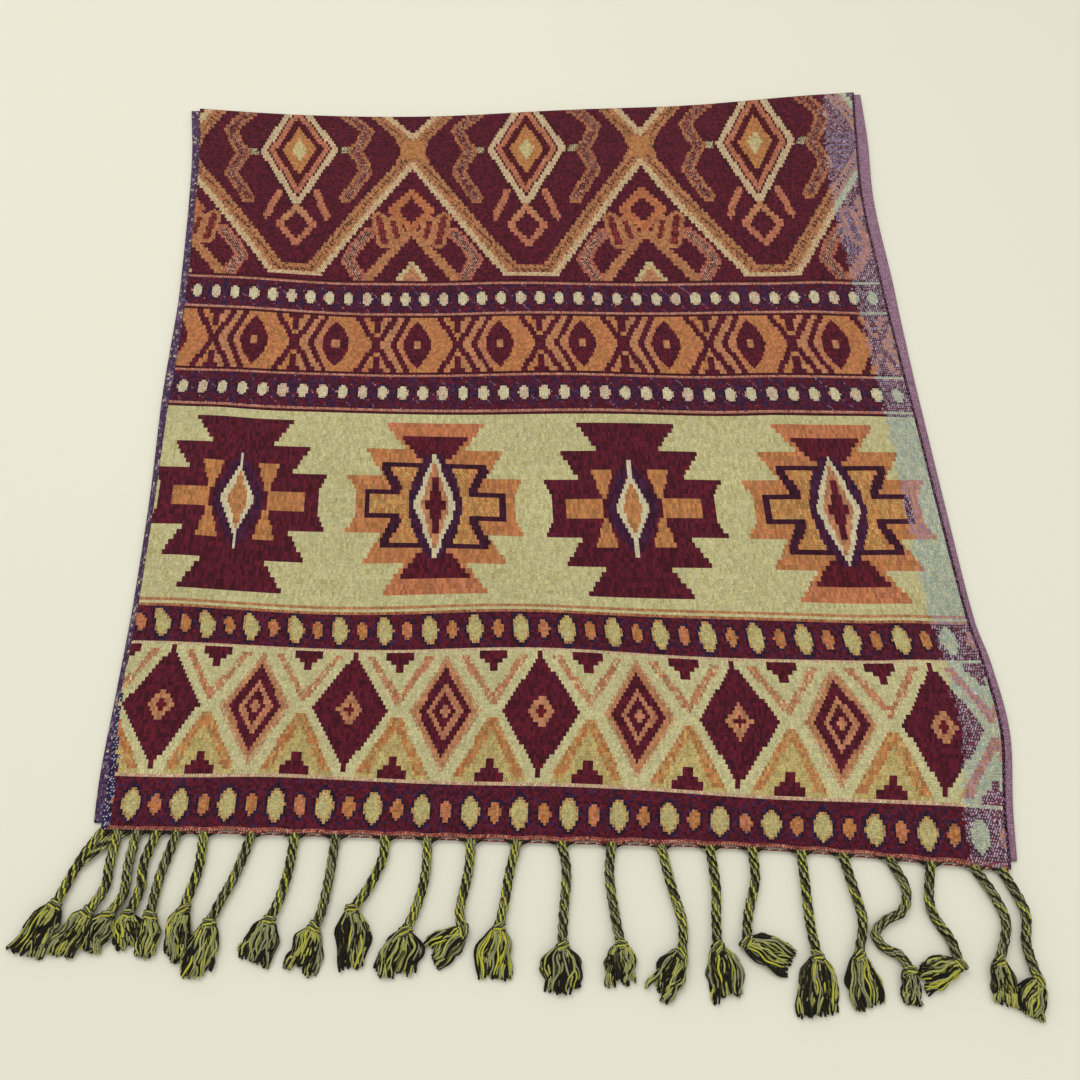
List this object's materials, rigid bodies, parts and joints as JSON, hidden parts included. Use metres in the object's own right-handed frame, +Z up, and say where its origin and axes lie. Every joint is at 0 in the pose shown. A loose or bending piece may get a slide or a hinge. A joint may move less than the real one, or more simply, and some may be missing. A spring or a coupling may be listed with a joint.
{
  "type": "tasseled scarf",
  "caption": "Woven shawl folded once and laid flat, with banded geometric weave and a row of twisted, knotted tassels along its front hem.",
  "frame": {"origin": "bottom centre of the laid shawl's box, tassels included, on the surface it rests on", "axes": "+X across the width with the tasselled hem nearest the viewer, +Y along the length from the tassels to the fold, +Z up from the surface"},
  "size_m": [0.7584, 0.9436, 0.0114],
  "materials": {
    "woven_face": "matt jacquard weave in burgundy, cream and orange",
    "woven_reverse": "matt mauve and navy weave",
    "tassel_yarn": "matt black and yellow-green yarn"
  },
  "bodies": {
    "root": {"upper_leaf": "woven_face", "lower_layers": "woven_reverse", "tassel_01": "tassel_yarn", "tassel_02": "tassel_yarn", "tassel_03": "tassel_yarn", "tassel_04": "tassel_yarn", "tassel_05": "tassel_yarn", "tassel_06": "tassel_yarn", "tassel_07": "tassel_yarn", "tassel_08": "tassel_yarn", "tassel_09": "tassel_yarn", "tassel_10": "tassel_yarn", "tassel_11": "tassel_yarn", "tassel_12": "tassel_yarn", "tassel_13": "tassel_yarn", "tassel_14": "tassel_yarn", "tassel_15": "tassel_yarn", "tassel_16": "tassel_yarn", "tassel_17": "tassel_yarn", "tassel_18": "tassel_yarn", "tassel_19": "tassel_yarn", "tassel_20": "tassel_yarn", "tassel_21": "tassel_yarn", "tassel_22": "tassel_yarn", "tassel_23": "tassel_yarn", "tassel_24": "tassel_yarn"}
  },
  "joints": []
}
